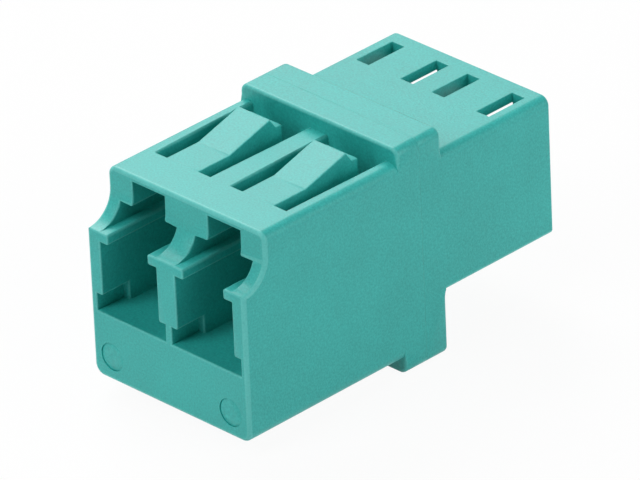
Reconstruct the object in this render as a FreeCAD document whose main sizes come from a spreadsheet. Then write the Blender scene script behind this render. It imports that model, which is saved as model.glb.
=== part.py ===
import FreeCAD, Part
import os
import Sketcher
from FreeCAD import Placement, Rotation, Vector

# Two-port fibre adapter that snaps into a panel.
# Local frame of every piece: X across the ports, Y from the panel side to the rear with the weld seam
# (the plane where the fibre ends meet) at zero, Z up from the underside of the flange.
dimensions = {
    # Port opening, measured up from its floor
    "port_pitch": 6.25,
    "port_width": 4.68,
    "port_height": 4.74,
    "ledge_thickness": 0.68,
    "ledge_gap": 3.30,
    "ear_height": 1.28,
    "front_keyway_height": 1.62,
    "rear_keyway_height": 0.76,
    "lock_distance": 9.93,
    "rear_lead_in": 0.80,
    # Walls round the ports
    "side_wall": 1.03,
    "front_base": 4.38,
    "front_roof": 0.47,
    "rear_base": 1.08,
    "rear_roof": 0.64,
    # Lengths along the plug axis
    "front_length": 12.87,
    "flange_depth": 3.60,
    "rear_length": 9.18,
    "flange_lip": 0.96,
    # Scoop of the front end, floor grooves and pin marks
    "scoop_radius": 1.90,
    "groove_undercut": 0.52,
    "groove_height": 1.15,
    "groove_length": 2.18,
    "pin_mark_diameter": 1.80,
    "pin_mark_depth": 0.05,
    "pin_mark_inset": 1.56,
    "pin_mark_height": 1.60,
    # Rounded edges
    "front_top_round": 0.60,
    "front_bottom_round": 0.70,
    "rear_top_round": 0.60,
    "rear_bottom_round": 0.25,
    "flange_round": 0.55,
    "rim_round": 0.25,
    "rear_rim_round": 0.15,
    # Ear windows and the spring tongue between them
    "window_width": 1.01,
    "window_length": 3.03,
    "tongue_thickness": 0.90,
    "tongue_flat": 2.62,
    "ridge_rise": 0.96,
    "catch_run": 0.46,
    "lip_rise": 0.29,
    "lip_length": 0.49,
    "panel_grip": 1.68,
    # Split sleeve and the holder round it
    "sleeve_inner": 1.25,
    "sleeve_wall": 0.185,
    "sleeve_length": 11.40,
    "sleeve_slit": 0.25,
    "sleeve_clearance": 0.06,
    "sleeve_end_play": 0.05,
    "holder_wall": 0.53,
    "holder_lip": 0.50,
    "holder_chamfer": 0.18,
    "ferrule_clearance": 0.075,
    "lead_in_flare": 0.25,
    # Pegs that line the two halves up before welding
    "peg_diameter": 1.20,
    "peg_length": 1.00,
    "peg_clearance": 0.05,
}

doc = FreeCAD.newDocument("fibre_adapter")
sizes = doc.addObject("Spreadsheet::Sheet", "sizes")
for row, (alias, value) in enumerate(dimensions.items(), start=1):
    sizes.set(f"A{row}", alias)
    sizes.set(f"B{row}", str(value))
    sizes.setAlias(f"B{row}", alias)
doc.recompute()


# Turns plain names such as "port_width / 2" into an expression that reads the sheet
def cells(words):
    return " ".join(f"sizes.{word}" if word in dimensions else word for word in words.split())


# Levels, from the flange's underside upwards
front_bottom = cells("flange_lip")
port_floor = front_bottom + cells(" + front_base")
axis_height = port_floor + cells(" + port_height / 2")
ledge_under = port_floor + cells(" + port_height")
ledge_top = ledge_under + cells(" + ledge_thickness")
shoulder = ledge_top + cells(" + ear_height")
front_keyway_top = shoulder + cells(" + front_keyway_height")
front_top = front_keyway_top + cells(" + front_roof")
rear_keyway_top = shoulder + cells(" + rear_keyway_height")
rear_top = rear_keyway_top + cells(" + rear_roof")
rear_bottom = port_floor + cells(" - rear_base")
flange_top = front_top + cells(" + flange_lip")
scoop_top = ledge_top + cells(" + scoop_radius")
peg_height = front_bottom + cells(" + front_base / 2")

# Distances along the plug axis, counted outwards from the seam
flange_face = cells("flange_depth / 2")
front_end = flange_face + cells(" + front_length")
rear_end = flange_face + cells(" + rear_length")
lock = cells("lock_distance")
holder_depth = cells("sleeve_length / 2 + sleeve_end_play")
holder_reach = holder_depth + cells(" + holder_lip")

# Widths
half_width = cells("( port_pitch + port_width ) / 2 + side_wall")
half_port = cells("port_width / 2")
half_tongue = cells("( port_width - 2 * window_width ) / 2")
sleeve_outer_radius = cells("sleeve_inner / 2 + sleeve_wall")
holder_bore_radius = sleeve_outer_radius + cells(" + sleeve_clearance")
holder_radius = holder_bore_radius + cells(" + holder_wall")

left, right = -1, 1
sides = {"left": left, "right": right}


def minus(expression):
    return f"-({expression})"


def port_centre(side):
    return cells(f"{side} * port_pitch / 2")


def measure(expression):
    return float(sizes.evalExpression(expression))


# A body whose place is bound to the sheet: the part's origin is at the middle of its footprint
def make_body(name, across="0"):
    body = doc.addObject("PartDesign::Body", name)
    body.Label = name
    body.Placement = Placement(Vector(0, 0, 0), Rotation())
    body.setExpression("Placement.Base.x", across)
    body.setExpression("Placement.Base.y", cells("( front_length - rear_length ) / 2"))
    return body


# A sketch on one of the body's own origin planes, moved along that plane's normal
def make_sketch(body, name, role, offset="0"):
    sketch = body.newObject("Sketcher::SketchObject", name)
    plane = next(item for item in body.Origin.OriginFeatures if item.Role == role)
    sketch.AttachmentSupport = [(plane, "")]
    sketch.MapMode = "FlatFace"
    sketch.setExpression("AttachmentOffset.Base.z", offset)
    return sketch


def pin_point(sketch, geometry, point, across, up):
    for direction, expression in (("DistanceX", across), ("DistanceY", up)):
        rule = Sketcher.Constraint(direction, -1, 1, geometry, point, measure(expression))
        index = sketch.addConstraint(rule)
        sketch.setExpression(f"Constraints[{index}]", expression)


# A closed outline through corners given as pairs of expressions. A corner with a third entry, a radius,
# is reached by an arc that bulges to the right of the way there.
def draw_outline(sketch, corners):
    first = sketch.GeometryCount
    count = len(corners)
    points = [Vector(measure(corner[0]), measure(corner[1]), 0) for corner in corners]
    for index, corner in enumerate(corners):
        start, end = points[index - 1], points[index]
        if len(corner) == 3:
            middle = arc_middle(start, end, measure(corner[2]))
            sketch.addGeometry(Part.Arc(start, middle, end), False)
            edge = first + index
            rule = sketch.addConstraint(Sketcher.Constraint("Radius", edge, measure(corner[2])))
            sketch.setExpression(f"Constraints[{rule}]", corner[2])
        else:
            sketch.addGeometry(Part.LineSegment(start, end), False)
    ends = [edge_end(sketch, first + index, points[index]) for index in range(count)]
    starts = [3 - end for end in ends]
    for index, corner in enumerate(corners):
        follower = (index + 1) % count
        link = (first + index, ends[index], first + follower, starts[follower])
        sketch.addConstraint(Sketcher.Constraint("Coincident", *link))
        pin_point(sketch, first + index, ends[index], corner[0], corner[1])


def arc_middle(start, end, radius):
    chord = end - start
    half = chord.Length / 2
    normal = Vector(chord.y, -chord.x, 0).normalize()
    rise = radius - (radius ** 2 - half ** 2) ** 0.5
    return (start + end) * 0.5 + normal * rise


# Which end of a sketch edge, 1 or 2, lies at the point: an arc's ends may be swapped
def edge_end(sketch, edge, point):
    return min((1, 2), key=lambda end: (sketch.getPoint(edge, end) - point).Length)


def draw_rectangle(sketch, low, high):
    draw_outline(sketch, [(low[0], low[1]), (high[0], low[1]), (high[0], high[1]), (low[0], high[1])])


def draw_circle(sketch, across, up, radius):
    centre = Vector(measure(across), measure(up), 0)
    edge = sketch.addGeometry(Part.Circle(centre, Vector(0, 0, 1), measure(radius)), False)
    pin_point(sketch, edge, 3, across, up)
    rule = sketch.addConstraint(Sketcher.Constraint("Radius", edge, measure(radius)))
    sketch.setExpression(f"Constraints[{rule}]", radius)


def pad(body, sketch, length, backwards=False, both_ways=False):
    return extrude(body, "Pad", sketch, length, backwards, both_ways)


# Cuts, and stops if the cut takes nothing away
def pocket(body, sketch, length, backwards=False, both_ways=False):
    before = body.Shape.Volume
    feature = extrude(body, "Pocket", sketch, length, backwards, both_ways)
    if body.Shape.Volume > before - 1e-6:
        raise RuntimeError(f"{sketch.Name} cuts nothing from {body.Name}")
    return feature


def extrude(body, kind, sketch, length, backwards, both_ways):
    feature = body.newObject(f"PartDesign::{kind}", f"{sketch.Name}_{kind.lower()}")
    feature.Profile = sketch
    feature.Reversed = backwards
    feature.SideType = "Symmetric" if both_ways else "One side"
    feature.setExpression("Length", length)
    doc.recompute()
    return feature


# Rounds the edges of the newest feature that the test picks
def round_edges(body, name, test, radius, kind="Fillet"):
    base = body.Tip
    names = [f"Edge{i}" for i, edge in enumerate(base.Shape.Edges, start=1) if test(edge)]
    if not names:
        raise RuntimeError(f"{name} finds no edge in {body.Name}")
    feature = body.newObject(f"PartDesign::{kind}", name)
    feature.Base = (base, names)
    feature.setExpression("Radius" if kind == "Fillet" else "Size", radius)
    doc.recompute()
    return feature


# True for a straight edge along the axis (0, 1 or 2) that passes through the given places on the others
def straight_edge(edge, axis, places, tolerance=1e-4):
    if not isinstance(edge.Curve, Part.Line) or len(edge.Vertexes) != 2:
        return False
    ends = [vertex.Point for vertex in edge.Vertexes]
    if abs(abs(ends[0][axis] - ends[1][axis]) - edge.Length) > tolerance:
        return False
    return all(abs(abs(ends[0][other]) - place) < tolerance for other, place in places.items())


# The block round the ports and this half of the flange, with their long edges rounded
def make_shell(body, bottom, top, end, backwards, bottom_round, top_round):
    section = make_sketch(body, f"{body.Name}_section", "XZ_Plane")
    draw_rectangle(section, (minus(half_width), bottom), (half_width, top))
    pad(body, section, end, backwards)
    for level, radius, word in ((bottom, bottom_round, "bottom"), (top, top_round, "top")):
        places = {0: measure(half_width), 2: measure(level)}
        round_edges(body, f"{body.Name}_{word}_round", lambda edge: straight_edge(edge, 1, places), radius)
    flange = make_sketch(body, f"{body.Name}_flange", "XZ_Plane")
    draw_rectangle(flange, (minus(half_width), "0"), (half_width, flange_top))
    pad(body, flange, flange_face, backwards)
    for level, word in (("0", "lower"), (flange_top, "upper")):
        places = {0: measure(half_width), 2: measure(level)}
        name = f"{body.Name}_flange_{word}_round"
        round_edges(body, name, lambda edge: straight_edge(edge, 1, places), cells("flange_round"))


# One stepped outline for each port: plug space, ledges, ear slot and keyway, one above the other.
# The keyway is as wide as the tongue, so that the ear windows open into it.
def cut_ports(body, end, length, keyway_top, backwards):
    half_gap = cells("ledge_gap / 2")
    right_half = [
        (half_port, port_floor), (half_port, ledge_under), (half_gap, ledge_under), (half_gap, ledge_top),
        (half_port, ledge_top), (half_port, shoulder), (half_tongue, shoulder), (half_tongue, keyway_top),
    ]
    left_half = [(minus(across), up) for across, up in reversed(right_half)]
    sketch = make_sketch(body, f"{body.Name}_ports", "XZ_Plane", end)
    for side in sides.values():
        outline = [(f"{port_centre(side)} + {across}", up) for across, up in right_half + left_half]
        draw_outline(sketch, outline)
    pocket(body, sketch, length, backwards)


# Holders for the split sleeves: a barrel on each port's axis, bored from the seam, with a lip at its tip
def make_holders(body, backwards):
    rounds = (("barrels", holder_radius), ("bores", holder_bore_radius))
    sketches = {}
    for word, radius in rounds:
        sketches[word] = make_sketch(body, f"{body.Name}_{word}", "XZ_Plane")
        for side in sides.values():
            draw_circle(sketches[word], port_centre(side), axis_height, radius)
    pad(body, sketches["barrels"], holder_reach, backwards)
    tip = measure(holder_reach)
    rim = measure(holder_radius)
    round_edges(body, f"{body.Name}_barrel_chamfer", lambda edge: rim_edge(edge, tip, rim),
                cells("holder_chamfer"), "Chamfer")
    pocket(body, sketches["bores"], holder_depth, not backwards)
    for word, side in sides.items():
        cut_lead_in(body, word, side, 1 if backwards else -1)


# A cone through the holder's lip leads the ferrule in, and its narrow end keeps the sleeve in place
def cut_lead_in(body, word, side, outward):
    cone = make_sketch(body, f"{body.Name}_{word}_lead_in", "YZ_Plane", port_centre(side))
    cone.setExpression("AttachmentOffset.Base.y", axis_height)
    narrow = cells("sleeve_inner / 2 + ferrule_clearance")
    tip = f"{outward} * ({holder_reach})"
    inner = f"{outward} * ({holder_depth})"
    draw_outline(cone, [(tip, "0"), (tip, narrow + cells(" + lead_in_flare")), (inner, narrow), (inner, "0")])
    before = body.Shape.Volume
    groove = body.newObject("PartDesign::Groove", f"{cone.Name}_groove")
    groove.Profile = cone
    groove.ReferenceAxis = (cone, ["H_Axis"])
    groove.Angle = 360
    doc.recompute()
    if body.Shape.Volume > before - 1e-6:
        raise RuntimeError(f"{cone.Name} cuts nothing from {body.Name}")


def rim_edge(edge, distance, radius, tolerance=1e-4):
    if not isinstance(edge.Curve, Part.Circle) or abs(edge.Curve.Radius - radius) > tolerance:
        return False
    return abs(abs(edge.Curve.Center.y) - distance) < tolerance


# True for the curved side edges of the scoop
def scoop_side(edge, tolerance=1e-4):
    if not isinstance(edge.Curve, Part.Circle):
        return False
    if abs(edge.Curve.Radius - measure(cells("scoop_radius"))) > tolerance:
        return False
    return all(abs(abs(vertex.X) - measure(half_width)) < tolerance for vertex in edge.Vertexes)


# Panel-side half, drawn forwards from the seam
def make_front_housing():
    body = make_body("front_housing")
    make_shell(body, front_bottom, front_top, front_end, False,
               cells("front_bottom_round"), cells("front_top_round"))

    # Scoop that sets the upper part of the front end back
    scoop = make_sketch(body, "scoop", "YZ_Plane")
    scoop_back = minus(front_end) + cells(" + scoop_radius")
    draw_outline(scoop, [(minus(front_end), flange_top), (minus(front_end), ledge_top),
                         (scoop_back, scoop_top, cells("scoop_radius")), (scoop_back, flange_top)])
    pocket(body, scoop, f"2 * ({half_width})", both_ways=True)
    rim = {0: measure(half_width), 1: measure(front_end)}
    round_edges(body, "front_rim_round",
                lambda edge: straight_edge(edge, 2, rim) or scoop_side(edge), cells("rim_round"))

    cut_ports(body, front_end, cells("front_length"), front_keyway_top, False)

    # Grooves beside the port floors, open at the front
    grooves = make_sketch(body, "floor_grooves", "XZ_Plane", front_end)
    half_groove = half_port + cells(" + groove_undercut")
    groove_top = port_floor + cells(" + groove_height")
    for side in sides.values():
        centre = port_centre(side)
        draw_rectangle(grooves, (f"{centre} - ({half_groove})", port_floor),
                       (f"{centre} + {half_groove}", groove_top))
    pocket(body, grooves, cells("groove_length"))

    # Openings in the top for the tongues, which also free the plug's ears
    openings = make_sketch(body, "tongue_openings", "XY_Plane", flange_top)
    for side in sides.values():
        centre = port_centre(side)
        draw_rectangle(openings, (f"{centre} - {half_port}", minus(lock)),
                       (f"{centre} + {half_port}", minus(flange_face)))
    pocket(body, openings, f"{flange_top} - ({shoulder})")

    make_holders(body, False)

    # Pegs on the seam face, in the thick base below the ports
    pegs = make_sketch(body, "pegs", "XZ_Plane")
    for side in sides.values():
        draw_circle(pegs, port_centre(side), peg_height, cells("peg_diameter / 2"))
    pad(body, pegs, cells("peg_length"), backwards=True)

    # Shallow round marks of the ejector pins near the lower corners of the front face
    marks = make_sketch(body, "pin_marks", "XZ_Plane", front_end)
    mark_height = front_bottom + cells(" + pin_mark_height")
    for side in sides.values():
        across = f"{side} * ({half_width}" + cells(" - pin_mark_inset )")
        draw_circle(marks, across, mark_height, cells("pin_mark_diameter / 2"))
    pocket(body, marks, cells("pin_mark_depth"))
    return body


# Rear half, drawn backwards from the seam
def make_rear_housing():
    body = make_body("rear_housing")
    make_shell(body, rear_bottom, rear_top, rear_end, True,
               cells("rear_bottom_round"), cells("rear_top_round"))
    rim = {0: measure(half_width), 1: measure(rear_end)}
    round_edges(body, "rear_rim_round", lambda edge: straight_edge(edge, 2, rim), cells("rear_rim_round"))
    cut_ports(body, minus(rear_end), cells("rear_length"), rear_keyway_top, True)

    # The ledges start a little inside the rear mouth
    lead_in = make_sketch(body, "rear_lead_ins", "XZ_Plane", minus(rear_end))
    for side in sides.values():
        centre = port_centre(side)
        draw_rectangle(lead_in, (f"{centre} - {half_port}", port_floor),
                       (f"{centre} + {half_port}", shoulder))
    pocket(body, lead_in, cells("rear_lead_in"), backwards=True)

    # Windows in the top, two to a port, that the plug's ears lock into
    windows = make_sketch(body, "ear_windows", "XY_Plane", rear_top)
    for side in sides.values():
        centre = port_centre(side)
        for edge in (left, right):
            inner = f"{centre} + {edge} * {half_tongue}"
            outer = f"{centre} + {edge} * {half_port}"
            draw_rectangle(windows, (inner, lock + cells(" - window_length")), (outer, lock))
    pocket(body, windows, f"{rear_top} - ({shoulder})")

    make_holders(body, True)

    sockets = make_sketch(body, "peg_sockets", "XZ_Plane")
    for side in sides.values():
        draw_circle(sockets, port_centre(side), peg_height, cells("peg_diameter / 2 + peg_clearance"))
    pocket(body, sockets, cells("peg_length + peg_clearance"))
    return body


# Spring tongue: flush at its root, then a ramp up to a ridge, a catch that faces the flange, and a short lip
def make_latch(word, side):
    body = make_body(f"{word}_panel_latch", port_centre(side))
    profile = make_sketch(body, f"{word}_tongue", "YZ_Plane")
    underside = front_top + cells(" - tongue_thickness")
    bend = minus(lock) + cells(" + tongue_flat")
    catch = minus(flange_face + cells(" + panel_grip"))
    ridge = catch + cells(" - catch_run")
    lip_end = catch + cells(" + lip_length")
    lip_top = front_top + cells(" + lip_rise")
    draw_outline(profile, [
        (minus(lock), underside), (lip_end, underside), (lip_end, lip_top), (catch, lip_top),
        (ridge, front_top + cells(" + ridge_rise")), (bend, front_top), (minus(lock), front_top),
    ])
    pad(body, profile, f"2 * {half_tongue}", both_ways=True)
    return body


# Split sleeve: a thin tube with one slit along its top
def make_sleeve(word, side):
    body = make_body(f"{word}_alignment_sleeve", port_centre(side))
    ring = make_sketch(body, f"{word}_sleeve_ring", "XZ_Plane")
    for radius in (sleeve_outer_radius, cells("sleeve_inner / 2")):
        draw_circle(ring, "0", axis_height, radius)
    pad(body, ring, cells("sleeve_length"), both_ways=True)
    slit = make_sketch(body, f"{word}_sleeve_slit", "XZ_Plane")
    draw_rectangle(slit, (cells("-1 * sleeve_slit / 2"), axis_height),
                   (cells("sleeve_slit / 2"), f"{axis_height} + 2 * ({sleeve_outer_radius})"))
    pocket(body, slit, cells("sleeve_length"), both_ways=True)
    return body


parts = [make_front_housing(), make_rear_housing()]
for word, side in sides.items():
    parts.append(make_latch(word, side))
    parts.append(make_sleeve(word, side))
doc.recompute()

for item in doc.Objects:
    if "Invalid" in item.State or "Error" in item.State:
        raise RuntimeError(f"{item.Name} failed: {item.State}")
for body in parts:
    if body.Shape.isNull() or not body.Shape.isValid() or len(body.Shape.Solids) != 1:
        raise RuntimeError(f"{body.Label} is not one valid solid")

os.makedirs("parts", exist_ok=True)
for body in parts:
    body.Shape.exportStep(f"parts/{body.Label}.step")
    box = body.Shape.BoundBox
    spans = ", ".join(f"{low:.2f} to {high:.2f}" for low, high in (
        (box.XMin, box.XMax), (box.YMin, box.YMax), (box.ZMin, box.ZMax)))
    print(f"{body.Label}: {body.Shape.Volume:.3f} mm3, {spans} mm")
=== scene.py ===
import bmesh
import bpy
from math import radians
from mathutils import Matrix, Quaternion, Vector


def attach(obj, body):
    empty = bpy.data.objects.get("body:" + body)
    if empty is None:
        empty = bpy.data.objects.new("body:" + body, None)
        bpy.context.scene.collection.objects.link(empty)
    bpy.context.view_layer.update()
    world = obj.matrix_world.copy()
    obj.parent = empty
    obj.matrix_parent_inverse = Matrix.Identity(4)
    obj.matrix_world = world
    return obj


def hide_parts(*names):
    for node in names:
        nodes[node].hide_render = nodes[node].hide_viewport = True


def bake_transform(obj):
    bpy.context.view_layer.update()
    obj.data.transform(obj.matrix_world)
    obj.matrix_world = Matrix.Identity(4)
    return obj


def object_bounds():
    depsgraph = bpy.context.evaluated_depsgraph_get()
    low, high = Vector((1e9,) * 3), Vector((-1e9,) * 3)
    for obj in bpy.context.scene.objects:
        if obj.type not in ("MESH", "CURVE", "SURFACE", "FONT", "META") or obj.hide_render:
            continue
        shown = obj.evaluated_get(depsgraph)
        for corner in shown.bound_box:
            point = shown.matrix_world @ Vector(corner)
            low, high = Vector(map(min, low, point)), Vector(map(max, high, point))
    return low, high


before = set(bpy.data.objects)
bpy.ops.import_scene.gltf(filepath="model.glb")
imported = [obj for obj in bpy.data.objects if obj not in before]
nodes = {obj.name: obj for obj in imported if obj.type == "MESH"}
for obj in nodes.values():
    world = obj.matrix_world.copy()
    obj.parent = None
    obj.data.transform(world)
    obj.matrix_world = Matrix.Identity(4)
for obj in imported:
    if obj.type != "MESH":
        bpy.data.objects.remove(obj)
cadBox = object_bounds()
scene = bpy.context.scene
mm = 0.001
slack = 0.01 * mm  # places closer than this count as the same
slightest = 0.002 * mm  # points closer than this are merged after rounding
sliver = 0.0002 * mm  # edges shorter than this are dissolved after rounding
tiny = 0.000001  # keeps a division away from zero
hardAngle = radians(38)  # an edge that is still this sharp after rounding is shaded as an edge
print("frame loaded:", ", ".join(sorted(nodes)))


class Wire:
    # wraps one socket of a node tree: sums and products of wires add Math nodes
    def __init__(self, tree, socket=None):
        self.tree = tree
        self.socket = socket

    # any other node: its type, the settings to make first, then the values or wires of its sockets
    def node(self, kind, settings=None, sockets=None, output=0):
        made = self.tree.nodes.new(kind)
        for name, value in (settings or {}).items():
            if name == "choices":
                for _ in range(value - len(made.index_switch_items)):
                    made.index_switch_items.new()
            else:
                setattr(made, name, value)
        for name, value in (sockets or {}).items():
            for part in value if isinstance(value, list) else [value]:
                if isinstance(part, Wire):
                    self.tree.links.new(part.socket, made.inputs[name])
                else:
                    made.inputs[name].default_value = part
        return Wire(self.tree, made.outputs[output] if len(made.outputs) else None)

    def math(self, operation, first, second):
        return self.node("ShaderNodeMath", {"operation": operation}, {0: first, 1: second})

    def __add__(self, other):
        return self.math("ADD", self, other)

    def __radd__(self, other):
        return self.math("ADD", other, self)

    def __sub__(self, other):
        return self.math("SUBTRACT", self, other)

    def __rsub__(self, other):
        return self.math("SUBTRACT", other, self)

    def __mul__(self, other):
        return self.math("MULTIPLY", self, other)

    def __rmul__(self, other):
        return self.math("MULTIPLY", other, self)

    def __gt__(self, other):
        return self.math("GREATER_THAN", self, other)

    def __lt__(self, other):
        return self.math("LESS_THAN", self, other)


# finishes

def newMaterial(name):
    material = bpy.data.materials.new(name)
    material.use_nodes = True
    material.node_tree.nodes.clear()
    return material, Wire(material.node_tree)


def surface(graph, shader):
    graph.node("ShaderNodeOutputMaterial", sockets={"Surface": shader})


def noise(graph, place, scale, detail=2.0, roughness=0.5):
    return graph.node("ShaderNodeTexNoise", sockets={
        "Vector": place, "Scale": scale, "Detail": detail, "Roughness": roughness})


def blended(first, second, share):
    return first * share + second * (1 - share)


noiseMean = 0.5

plastic = {
    "colour": (0.002, 0.246, 0.226, 1),
    "paleColour": (0.056, 0.622, 0.571, 1),
    "paintedHighlightColour": (0.125, 0.570, 0.530, 1),  # painted highlight: tight corners are painted paler, as if they caught the light
    "edgeWear": 0.7,
    "highlightLeast": 0.6,  # the grain breaks the painted highlight up
    "highlightSpread": 0.8,
    "roughness": 0.43,
    "roughnessSpread": 0.20,
    "refraction": 1.46,
    "flowScale": 260,  # cloudy drift of the pigment, a few millimetres across
    "flowDetail": 3.0,
    "flowRoughness": 0.55,
    "flowInColour": 0.25,  # share of the drift, the rest is grain
    "flowInRoughness": 0.4,
    "grainScale": 8500,  # spark-eroded grain of the mould, about 0.12 mm across
    "grainDepth": 0.014 * mm,
    "grainStrength": 0.8,
}


def makePlastic():
    material, graph = newMaterial("aquaPlastic")
    place = graph.node("ShaderNodeTexCoord", output="Object")
    flow = noise(
        graph, place, plastic["flowScale"], plastic["flowDetail"], plastic["flowRoughness"])
    grain = noise(graph, place, plastic["grainScale"])
    body = graph.node("ShaderNodeMix", {"data_type": "RGBA"}, {
        "Factor": blended(flow, grain, plastic["flowInColour"]),
        "A": plastic["colour"], "B": plastic["paleColour"]}, "Result")
    # painted highlight: the tightly rounded outer corners are mixed towards a paler colour
    mark = graph.node("ShaderNodeAttribute", {"attribute_name": "edgeWear"}, output="Fac")
    highlit = mark * plastic["edgeWear"] * (plastic["highlightLeast"] + grain * plastic["highlightSpread"])
    tone = graph.node("ShaderNodeMix", {"data_type": "RGBA"}, {
        "Factor": highlit, "A": body, "B": plastic["paintedHighlightColour"]}, "Result")
    drift = blended(flow, grain, plastic["flowInRoughness"]) - noiseMean
    rough = plastic["roughness"] + drift * plastic["roughnessSpread"]
    relief = graph.node("ShaderNodeBump", sockets={
        "Strength": plastic["grainStrength"], "Distance": plastic["grainDepth"], "Height": grain})
    surface(graph, graph.node("ShaderNodeBsdfPrincipled", sockets={
        "Base Color": tone, "Roughness": rough, "Normal": relief,
        "IOR": plastic["refraction"]}))
    return material


ceramic = {
    "colour": (0.80, 0.79, 0.74, 1),
    "paleColour": (0.87, 0.86, 0.82, 1),
    "roughness": 0.24,
    "roughnessSpread": 0.12,
    "refraction": 1.9,
    "grindScale": 2600,
    "grindDetail": 3.0,
}


def makeCeramic():
    material, graph = newMaterial("sleeveCeramic")
    place = graph.node("ShaderNodeTexCoord", output="Object")
    grind = noise(graph, place, ceramic["grindScale"], ceramic["grindDetail"])
    tone = graph.node("ShaderNodeMix", {"data_type": "RGBA"}, {
        "Factor": grind, "A": ceramic["colour"], "B": ceramic["paleColour"]}, "Result")
    rough = ceramic["roughness"] + (grind - noiseMean) * ceramic["roughnessSpread"]
    surface(graph, graph.node("ShaderNodeBsdfPrincipled", sockets={
        "Base Color": tone, "Roughness": rough, "IOR": ceramic["refraction"]}))
    return material


aquaPlastic = makePlastic()
sleeveCeramic = makeCeramic()
print("finishes made")


# camera

view = {
    "place": (348.066 * mm, -335.747 * mm, 275.669 * mm),
    "aim": (0.094 * mm, -0.317 * mm, 6.983 * mm),
    "roll": radians(-2.591),
    "lens": 527.76,
    "sensor": 36,
    "nearest": 0.01,
    "farthest": 10,
}


def makeCamera():
    camera = bpy.data.objects.new("camera", bpy.data.cameras.new("camera"))
    camera.location = view["place"]
    look = (Vector(view["aim"]) - Vector(view["place"])).to_track_quat("-Z", "Y")
    camera.rotation_mode = "QUATERNION"
    camera.rotation_quaternion = look @ Quaternion((0, 0, 1), view["roll"])
    camera.data.lens = view["lens"]
    camera.data.sensor_width = view["sensor"]
    camera.data.clip_start = view["nearest"]
    camera.data.clip_end = view["farthest"]
    scene.collection.objects.link(camera)
    scene.camera = camera


makeCamera()
print("camera set")


def newPiece(name, mesh):
    piece = bpy.data.objects.new(name, mesh)
    scene.collection.objects.link(piece)
    return piece


# turns what the modifiers make into the piece's plain mesh
def settled(piece):
    graph = bpy.context.evaluated_depsgraph_get()
    mesh = bpy.data.meshes.new_from_object(piece.evaluated_get(graph))
    piece.modifiers.clear()
    piece.data = mesh
    return mesh


paintedHighlight = {
    "wideRound": 0.45 * mm,  # no painted highlight on roundings wider than this
    "tightRound": 0.26 * mm,  # full painted highlight from this down
    "fading": 4,  # rounds of smoothing
}


# marks the tightly rounded outer edges, where a highlight is painted into the plastic as paler
# corners
def markWear(shape):
    least, most = 1 / paintedHighlight["wideRound"], 1 / paintedHighlight["tightRound"]
    highlit = {vertex: 0.0 for vertex in shape.verts}
    rounded = set()
    for edge in shape.edges:
        if edge.is_manifold and edge.is_convex and edge.calc_face_angle(0) < hardAngle:
            area = sum(face.calc_area() for face in edge.link_faces)
            width = area / max(edge.calc_length(), tiny) / 2
            curve = edge.calc_face_angle(0) / max(width, tiny)
            amount = min(max((curve - least) / (most - least), 0.0), 1.0)
            if amount > 0:
                rounded.update(edge.link_faces)
                for vertex in edge.verts:
                    highlit[vertex] = max(highlit[vertex], amount)
    for _ in range(paintedHighlight["fading"]):
        highlit = {vertex: (amount + sum(highlit[edge.other_vert(vertex)] for edge in vertex.link_edges)
                         / len(vertex.link_edges)) / 2 for vertex, amount in highlit.items()}
    layer = shape.loops.layers.float.new("edgeWear")
    for face in rounded:
        for loop in face.loops:
            loop[layer] = highlit[loop.vert]


# takes out what a bevel leaves without area: bunched points, and pairs of faces back to back
def dropSlivers(shape):
    bmesh.ops.remove_doubles(shape, verts=shape.verts, dist=slightest)
    alike = {}
    for face in shape.faces:
        alike.setdefault(frozenset(face.verts), []).append(face)
    folded = [face for faces in alike.values() if len(faces) > 1 for face in faces]
    bmesh.ops.delete(shape, geom=folded, context="FACES")
    bmesh.ops.dissolve_degenerate(shape, dist=sliver, edges=shape.edges)


# rounds the weighted edges, then keeps the flat faces flat in the shading
def breakEdges(piece, width, segments):
    soften = piece.modifiers.new("edgeBreak", "BEVEL")
    soften.limit_method = "WEIGHT"
    soften.width = width
    soften.segments = segments
    soften.use_clamp_overlap = False
    soften.face_strength_mode = "FSTR_ALL"
    shape = bmesh.new()
    shape.from_mesh(settled(piece))
    for vertex in shape.verts:
        limits = zip(vertex.co, *cadBox)
        vertex.co = [min(max(place, low), high) for place, low, high in limits]
    dropSlivers(shape)
    # paints a highlight onto the tightly rounded outer edges
    markWear(shape)
    manySided = [face for face in shape.faces if len(face.verts) > 4]
    bmesh.ops.triangulate(shape, faces=manySided)
    for edge in shape.edges:
        if edge.calc_face_angle(0) > hardAngle:
            edge.smooth = False
    shape.to_mesh(piece.data)
    shape.free()
    shading = piece.modifiers.new("flatFaces", "WEIGHTED_NORMAL")
    shading.keep_sharp = True
    shading.use_face_influence = True
    return settled(piece)


# housing halves: the CAD shapes with the fine edge breaks of a moulding

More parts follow.
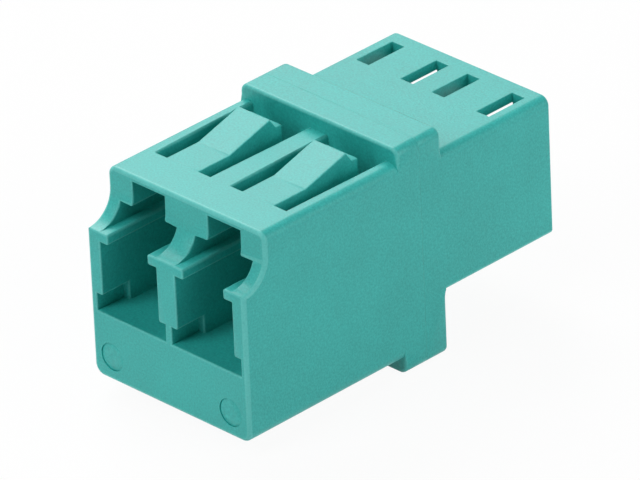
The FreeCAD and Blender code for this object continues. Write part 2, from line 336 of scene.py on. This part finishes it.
housing = {
    "mergeDistance": 0.0003 * mm,
    "flatAngle": radians(0.3),
    "sharpAngle": radians(28),
    "inLine": 0.99999,  # cosine from which two edges are one line
    "facing": 0.9,  # and from which a face looks along an axis
    "lengthShare": 0.99,  # an edge along Y
    "slantShare": 0.01,  # an edge that runs along both Y and Z
    "segments": 3,
    "widest": 0.20 * mm,
    "lengthwise": 0.16 * mm,  # edges along the ports
    "mouth": 0.11 * mm,  # where a port or the scoop meets the end face
    "windowRim": 0.05 * mm,
    "slotRim": 0.18 * mm,  # beside the spring tongues
    "windowFoot": 12.80 * mm,
    "windowMiddle": 10.26 * mm,
    "windowReach": 2 * mm,
    "frontEnd": -12.825 * mm,
    "markCentre": 4.935 * mm,  # round marks of the ejector pins, with a fine ring in each
    "markHeight": 2.56 * mm,
    "markReach": 0.95 * mm,
    "markDepth": 0.2 * mm,  # no mark is deeper than this
    "ringWidth": 0.06 * mm,
    "ringDepth": 0.04 * mm,
    "flangeRim": 0.20 * mm,
    "rimCuts": 11,
    "rimRunOut": (0.25 * mm, 0.85 * mm),  # the rim fades out over this height on the flush sides
    "scoopRunOut": (0.05 * mm, 0.30 * mm),
    "seam": 0.03 * mm,
    "seamY": 1.845 * mm,
    "flangeFront": 0.045 * mm,
    "flangeRear": 3.645 * mm,
    "frontSides": (1.66 * mm, 13.53 * mm),  # the flat sides of the block in front of the flange
    "rearSides": (4.51 * mm, 12.84 * mm),
    "halfWidth": 6.495 * mm,
    "sideSlack": 0.001 * mm,
    "openingY": -8.085 * mm,
    "setbackY": -10.925 * mm,
    "ledgeTop": 10.76 * mm,
    "shoulder": 12.04 * mm,
    "frontTop": 14.13 * mm,
    "portCentre": 3.125 * mm,
    "portAxis": 7.71 * mm,
    "portHalf": 2.34 * mm,
    "holderRadius": 1.5 * mm,
    "pegHeight": 3.15 * mm,
    "pegRadius": 0.7 * mm,
}


def near(a, b, reach=slack):
    return abs(a - b) < reach


def runOut(distance, limits):
    return min(max((distance - limits[0]) / (limits[1] - limits[0]), 0.0), 1.0)


def isPinMark(place):
    across, up = abs(place.x) - housing["markCentre"], place.z - housing["markHeight"]
    inReach = across ** 2 + up ** 2 < housing["markReach"] ** 2
    return inReach and near(place.y, housing["frontEnd"], housing["markDepth"])


# sinks a ring round the floor of each pin mark
def ringPinMarks(shape):
    marks = [face for face in shape.faces if isPinMark(face.calc_center_median())]
    floors = [face for face in marks if abs(face.normal.y) > housing["facing"]]
    feet = [vertex for face in floors for vertex in face.verts]
    bmesh.ops.inset_individual(
        shape, faces=floors, thickness=housing["ringWidth"], use_even_offset=True)
    for vertex in feet:
        vertex.co.y += housing["ringDepth"]


def onFlangeFace(place):
    return near(place.y, housing["flangeFront"]) or near(place.y, housing["flangeRear"])


# an upright edge of the flange where its side is flush with the block
def isFlangeSide(edge):
    return all(near(abs(vertex.co.x), housing["halfWidth"], housing["sideSlack"])
               and onFlangeFace(vertex.co) for vertex in edge.verts)


# how far an edge of the moulding is broken, 0 where it stays sharp
def edgeBreak(edge):
    ends = [vertex.co for vertex in edge.verts]
    middle = (ends[0] + ends[1]) / 2
    along = ends[1] - ends[0]
    across = abs(middle.x) - housing["portCentre"]
    if across ** 2 + (middle.z - housing["portAxis"]) ** 2 < housing["holderRadius"] ** 2:
        return 0.0  # sleeve holders
    if across ** 2 + (middle.z - housing["pegHeight"]) ** 2 < housing["pegRadius"] ** 2:
        return 0.0  # pegs and their sockets
    if isPinMark(middle):
        return 0.0
    if all(near(end.y, housing["seamY"]) for end in ends):
        return housing["seam"]
    atOpening = all(near(end.y, housing["openingY"]) for end in ends)
    if atOpening and near(middle.z, housing["frontTop"]):
        return 0.0  # the tongue's root runs on flush here
    if isFlangeSide(edge):
        low, high = housing["frontSides" if near(middle.y, housing["flangeFront"]) else "rearSides"]
        pastSides = max(low - middle.z, middle.z - high)
        return housing["flangeRim"] * runOut(pastSides, housing["rimRunOut"])
    if all(onFlangeFace(end) for end in ends):
        return housing["flangeRim"]
    inPort = abs(across) < housing["portHalf"] + slack
    isLengthwise = abs(along.y) > housing["lengthShare"] * along.length
    if isLengthwise and inPort and middle.z < housing["shoulder"] + slack:
        return housing["lengthwise"]
    isSlanted = min(abs(along.y), abs(along.z)) > housing["slantShare"] * along.length
    if isSlanted and middle.y < housing["setbackY"]:
        return housing["mouth"] * runOut(middle.z - housing["ledgeTop"], housing["scoopRunOut"])
    atFoot = all(near(end.z, housing["windowFoot"]) for end in ends)
    if atFoot and near(middle.y, housing["windowMiddle"], housing["windowReach"]):
        return 0.0  # inside the ear windows
    aboveShoulder = middle.z > housing["shoulder"] + 2 * slack
    if aboveShoulder and inPort and middle.y > housing["openingY"] - slack:
        atTop = all(near(end.z, housing["frontTop"]) for end in ends)
        return housing["slotRim" if atTop and middle.y < housing["flangeFront"] else "windowRim"]
    return housing["mouth"]


# a vertex that only divides a straight edge
def liesOnLine(vertex):
    if len(vertex.link_edges) != 2:
        return False
    one, two = [(edge.other_vert(vertex).co - vertex.co).normalized() for edge in vertex.link_edges]
    return one.dot(two) < -housing["inLine"]


def softenedCopy(nodeName, pieceName):
    shape = bmesh.new()
    shape.from_mesh(nodes[nodeName].data)
    bmesh.ops.remove_doubles(shape, verts=shape.verts, dist=housing["mergeDistance"])
    bmesh.ops.dissolve_limit(
        shape, angle_limit=housing["flatAngle"], verts=shape.verts, edges=shape.edges)
    straight = [vertex for vertex in shape.verts if liesOnLine(vertex)]
    bmesh.ops.dissolve_verts(shape, verts=straight)
    sides = [edge for edge in shape.edges if isFlangeSide(edge)]
    bmesh.ops.bisect_edges(shape, edges=sides, cuts=housing["rimCuts"])
    ringPinMarks(shape)
    weights = shape.edges.layers.float.new("bevel_weight_edge")
    for face in shape.faces:
        face.smooth = True
    for edge in shape.edges:
        if edge.is_manifold and edge.calc_face_angle(0) > housing["sharpAngle"]:
            edge[weights] = edgeBreak(edge) / housing["widest"] if edge.is_convex else 0.0
            edge.smooth = edge[weights] > 0
    mesh = bpy.data.meshes.new(pieceName)
    shape.to_mesh(mesh)
    shape.free()
    piece = newPiece(pieceName, mesh)
    mesh = breakEdges(piece, housing["widest"], housing["segments"])
    mesh.materials.clear()
    mesh.materials.append(aquaPlastic)
    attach(piece, "housing")
    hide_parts(nodeName)
    return piece


frontHalf = softenedCopy("front_housing", "front_half")
rearHalf = softenedCopy("rear_housing", "rear_half")
faceCounts = [len(half.data.polygons) for half in (frontHalf, rearHalf)]
print("housing halves made:", *faceCounts, "faces")


# spring tongues: a side profile drawn from its sizes, rounded, filled and given its width

tongue = {
    "Half Width": 1.33 * mm,
    "Root": -8.085 * mm,
    "Bend": -5.465 * mm,
    "Ridge": -2.095 * mm,
    "Catch": -1.635 * mm,
    "Lip End": -1.145 * mm,
    "Underside": 13.23 * mm,
    "Top": 14.13 * mm,
    "Ridge Top": 15.09 * mm,
    "Lip Top": 14.42 * mm,
    "Corner Round": 0.12 * mm,
    "Edge Angle": radians(35),
    "Slack": 0.005 * mm,
    "Merge Distance": 0.0005 * mm,
}
tongueEdge = 0.11 * mm
tongueSegments = 2
tongueRoundPoints = 3
tongueSteps = 11  # cuts along each side of the profile, so that the root bends smoothly


def makeTongueTree():
    tree = bpy.data.node_groups.new("springTongue", "GeometryNodeTree")
    for name in ["Centre", *tongue]:
        tree.interface.new_socket(name, in_out="INPUT", socket_type="NodeSocketFloat")
    tree.interface.new_socket("Steps", in_out="INPUT", socket_type="NodeSocketInt")
    tree.interface.new_socket("Finish", in_out="INPUT", socket_type="NodeSocketMaterial")
    tree.interface.new_socket("Mesh", in_out="OUTPUT", socket_type="NodeSocketGeometry")
    graph = Wire(tree)
    source = tree.nodes.new("NodeGroupInput")
    size = {socket.name: Wire(tree, socket) for socket in source.outputs if socket.name}
    place = graph.node("GeometryNodeInputPosition")
    axis = {name: graph.node("ShaderNodeSeparateXYZ", sockets={"Vector": place}, output=name)
            for name in "XYZ"}

    def point(along, up):
        return graph.node("ShaderNodeCombineXYZ", sockets={"X": size[along], "Y": size[up]})

    corners = [point(*corner) for corner in (
        ("Root", "Underside"), ("Lip End", "Underside"), ("Lip End", "Lip Top"),
        ("Catch", "Lip Top"), ("Ridge", "Ridge Top"), ("Bend", "Top"), ("Root", "Top"))]
    index = graph.node("GeometryNodeInputIndex")
    corner = graph.node("GeometryNodeIndexSwitch", {"data_type": "VECTOR", "choices": len(corners)},
                        {"Index": index, **{str(i): wire for i, wire in enumerate(corners)}})
    line = graph.node("GeometryNodeMeshLine", sockets={"Count": len(corners)})
    line = graph.node("GeometryNodeSetPosition", sockets={"Geometry": line, "Position": corner})
    curve = graph.node("GeometryNodeMeshToCurve", sockets={"Mesh": line})
    curve = graph.node("GeometryNodeSetSplineCyclic", sockets={"Geometry": curve, "Cyclic": True})
    # the two corners at the root stay sharp, flush with the block
    rounded = size["Corner Round"] * (index > 0.5) * (index < len(corners) - 1.5)
    curve = graph.node("GeometryNodeFilletCurve", {"mode": "POLY"}, {
        "Curve": curve, "Count": tongueRoundPoints, "Radius": rounded, "Limit Radius": True})
    # only the runs from the root are divided, because that is where the tongue bends
    cuts = size["Steps"] * (axis["X"] < size["Bend"] - size["Slack"])
    curve = graph.node("GeometryNodeSubdivideCurve", sockets={"Curve": curve, "Cuts": cuts})
    side = graph.node("GeometryNodeFillCurve", {"mode": "NGONS"}, {"Curve": curve})
    width = graph.node("ShaderNodeCombineXYZ", sockets={"Z": size["Half Width"] * 2})
    body = graph.node("GeometryNodeExtrudeMesh", {"mode": "FACES"}, {
        "Mesh": side, "Offset": width, "Offset Scale": 1.0, "Individual": False})
    back = graph.node("GeometryNodeFlipFaces", sockets={"Mesh": side})
    solid = graph.node("GeometryNodeJoinGeometry", sockets={"Geometry": [body, back]})
    solid = graph.node("GeometryNodeMergeByDistance", sockets={
        "Geometry": solid, "Distance": size["Merge Distance"]})
    # the profile was drawn flat: along, up and across become Y, Z and X
    upright = graph.node("ShaderNodeCombineXYZ", sockets={
        "X": axis["Z"] + size["Centre"] - size["Half Width"], "Y": axis["X"], "Z": axis["Y"]})
    solid = graph.node("GeometryNodeSetPosition", sockets={"Geometry": solid, "Position": upright})
    angle = graph.node("GeometryNodeInputMeshEdgeAngle", output="Signed Angle")
    sharp = angle > size["Edge Angle"]
    free = axis["Y"] > size["Root"] + size["Slack"]
    for kind, name, value in (("FLOAT", "bevel_weight_edge", sharp * free),
                              ("BOOLEAN", "sharp_edge", sharp * (1 - free))):
        solid = graph.node(
            "GeometryNodeStoreNamedAttribute", {"data_type": kind, "domain": "EDGE"},
            {"Geometry": solid, "Name": name, "Value": value})
    solid = graph.node("GeometryNodeSetShadeSmooth", sockets={"Geometry": solid})
    solid = graph.node("GeometryNodeRealizeInstances", sockets={"Geometry": solid})
    solid = graph.node("GeometryNodeSetMaterial", sockets={
        "Geometry": solid, "Material": size["Finish"]})
    graph.node("NodeGroupOutput", sockets={"Mesh": solid})
    return tree


def makeTongue(tree, name, centre, nodeName):
    piece = newPiece(name, bpy.data.meshes.new(name))
    shape = piece.modifiers.new("shape", "NODES")
    shape.node_group = tree
    values = {**tongue, "Centre": centre, "Steps": tongueSteps, "Finish": aquaPlastic}
    for item in tree.interface.items_tree:
        if item.in_out == "INPUT":
            shape[item.identifier] = values[item.name]
    settled(piece)
    breakEdges(piece, tongueEdge, tongueSegments)
    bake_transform(piece)
    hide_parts(nodeName)
    return piece


tongueTree = makeTongueTree()
leftTongue = makeTongue(
    tongueTree, "left_tongue", -housing["portCentre"], "left_panel_latch")
makeTongue(tongueTree, "right_tongue", housing["portCentre"], "right_panel_latch")
print("tongues made:", len(leftTongue.data.polygons), "faces each")

for name in ("left_alignment_sleeve", "right_alignment_sleeve"):
    nodes[name].data.materials.clear()
    nodes[name].data.materials.append(sleeveCeramic)


# floor, lamps and background

studio = {
    "floorSize": 0.36,
    "floorHeight": -0.01 * mm,  # the flange stands on it
    "floorColour": (0.92, 0.92, 0.92, 1),
    "white": (1, 1, 1, 1),
    "floorShadow": 0.06,  # how much of its own shading the floor shows
    "floorGlow": 0.02,  # the floor is a light table: it lights the object from below
    "horizonFill": 0.015,
    "zenithFill": 0.03,
    "lamps": {  # power, size, place
        "keyLamp": (0.39, 0.20, (0.0, -0.20, 0.36)),
        "backLamp": (1.95, 0.32, (-0.33, 0.148, 0.352)),
        "rightLamp": (0.80, 0.30, (0.375, 0.10, 0.16)),
        "frontLamp": (0.44, 0.15, (-0.10, -0.33, 0.24)),
        "lowLamp": (0.10, 0.10, (-0.025, -0.405, 0.075)),
    },
}


# 1 for rays from the camera, from gloss and through glass
def seenDirectly(graph):
    camera, gloss, glass = [graph.node("ShaderNodeLightPath", output=name) for name in (
        "Is Camera Ray", "Is Glossy Ray", "Is Transmission Ray")]
    return graph.math("MAXIMUM", graph.math("MAXIMUM", camera, gloss), glass)


def makeFloor():
    half = studio["floorSize"] / 2
    mesh = bpy.data.meshes.new("floor")
    outline = ((-half, -half), (half, -half), (half, half), (-half, half))
    corners = [(x, y, studio["floorHeight"]) for x, y in outline]
    mesh.from_pydata(corners, [], [(0, 1, 2, 3)])
    material, graph = newMaterial("paleFloor")
    matt = graph.node("ShaderNodeBsdfDiffuse", sockets={"Color": studio["floorColour"]})
    white = graph.node("ShaderNodeEmission", sockets={"Color": studio["white"], "Strength": 1.0})
    direct = seenDirectly(graph)
    glow = graph.node("ShaderNodeEmission", sockets={
        "Color": studio["white"], "Strength": studio["floorGlow"] * (1 - direct)})
    lit = graph.node("ShaderNodeAddShader", sockets={0: matt, 1: glow})
    share = direct * (1 - studio["floorShadow"])
    surface(graph, graph.node("ShaderNodeMixShader", sockets={0: share, 1: lit, 2: white}))
    mesh.materials.append(material)
    newPiece("floor", mesh)


def makeWorld():
    world = bpy.data.worlds.new("studio")
    world.use_nodes = True
    world.node_tree.nodes.clear()
    graph = Wire(world.node_tree)
    direction = graph.node("ShaderNodeTexCoord", output="Generated")
    height = graph.node("ShaderNodeSeparateXYZ", sockets={"Vector": direction}, output="Z")
    fill = studio["horizonFill"] + graph.math("MAXIMUM", height, 0.0) * (
        studio["zenithFill"] - studio["horizonFill"])
    direct = seenDirectly(graph)
    strength = fill * (1 - direct) + direct
    sky = graph.node("ShaderNodeBackground", sockets={
        "Color": studio["white"], "Strength": strength})
    graph.node("ShaderNodeOutputWorld", sockets={"Surface": sky})
    scene.world = world


def makeLamp(name, power, size, place):
    lamp = bpy.data.lights.new(name, "AREA")
    lamp.energy = power
    lamp.size = size
    holder = bpy.data.objects.new(name, lamp)
    holder.location = place
    holder.rotation_mode = "QUATERNION"
    holder.rotation_quaternion = (-Vector(place)).to_track_quat("-Z", "Y")
    scene.collection.objects.link(holder)


makeFloor()
makeWorld()
for name, (power, size, place) in studio["lamps"].items():
    makeLamp(name, power, size, place)
scene.view_settings.view_transform = "Standard"
print("studio set")
